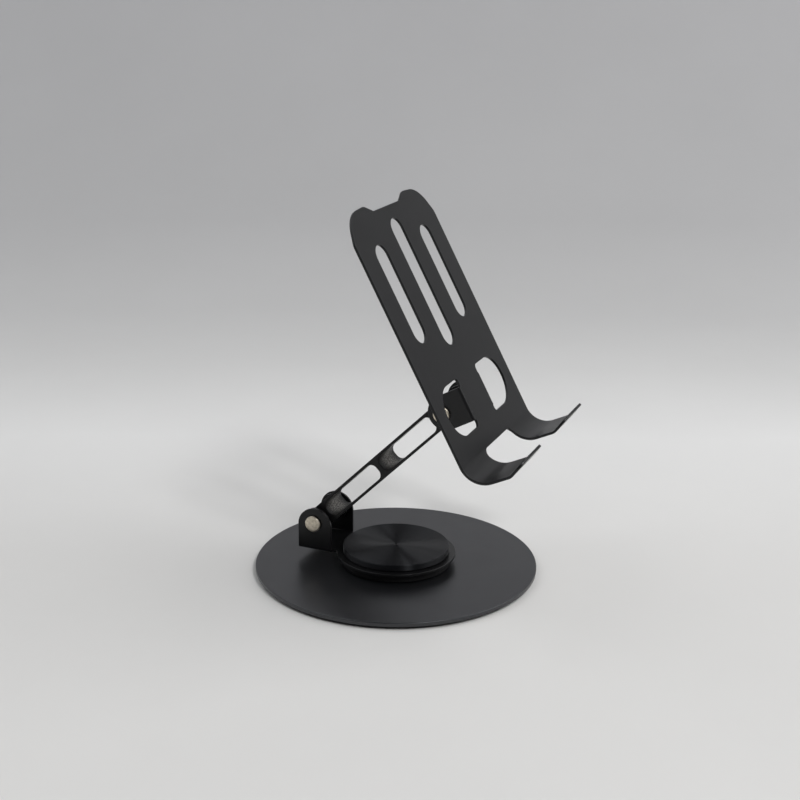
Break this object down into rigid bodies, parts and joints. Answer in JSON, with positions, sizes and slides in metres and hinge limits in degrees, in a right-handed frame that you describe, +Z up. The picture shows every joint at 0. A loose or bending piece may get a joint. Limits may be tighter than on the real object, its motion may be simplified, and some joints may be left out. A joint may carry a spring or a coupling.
{
  "type": "phone stand",
  "caption": "Folding desk stand for a phone: a slotted, hooked cradle plate hinged on a windowed arm that is hinged to a turntable on a weighted round base.",
  "frame": {"origin": "centre of the base's underside, on the desk", "axes": "+Z up; the phone faces -Y; both hinge axes run along X"},
  "size_m": [0.1, 0.1071, 0.1322],
  "materials": {
    "black_steel": "black satin powder coat",
    "black_aluminium": "black anodised, finely blasted",
    "spun_aluminium": "black anodised, spun rings",
    "plain_steel": "plain, lightly textured",
    "spring_steel": "grey, smooth",
    "black_nylon": "matt",
    "rubber": "matt"
  },
  "bodies": {
    "base": {"base_pad": "rubber", "base_disc": "black_steel", "swivel_rivet": "plain_steel", "swivel_bearing_ring": "black_nylon", "swivel_disc_spring": "spring_steel", "swivel_lower_washer": "black_nylon", "swivel_clamp_washer": "plain_steel"},
    "turntable": {"turntable_bracket": "black_steel", "hub_cap": "spun_aluminium", "swivel_upper_washer": "black_nylon", "lower_hinge_pin": "plain_steel", "lower_pin_collar": "plain_steel", "lower_disc_spring_left": "spring_steel", "lower_disc_spring_right": "spring_steel", "lower_washer_left": "black_nylon", "lower_washer_right": "black_nylon"},
    "arm": {"arm_link": "black_aluminium", "lower_bush": "black_nylon", "upper_bush": "black_nylon"},
    "cradle": {"cradle_plate": "black_steel", "upper_hinge_pin": "plain_steel", "upper_pin_collar": "plain_steel", "upper_disc_spring_left": "spring_steel", "upper_disc_spring_right": "spring_steel", "upper_washer_left": "black_nylon", "upper_washer_right": "black_nylon"}
  },
  "joints": [
    {"name": "turntable_spin", "type": "hinge", "parent": "base", "child": "turntable", "pos_m": [0, 0, 0], "axis": [0, 0, 1], "continuous": true},
    {"name": "arm_tilt", "type": "hinge", "parent": "turntable", "child": "arm", "pos_m": [0, 0.0278, 0.01575], "axis": [1, 0, 0], "range_deg": [-90, 22]},
    {"name": "cradle_tilt", "type": "hinge", "parent": "arm", "child": "cradle", "pos_m": [0, -0.02022, 0.06319], "axis": [-1, 0, 0], "range_deg": [-70, 104]}
  ]
}
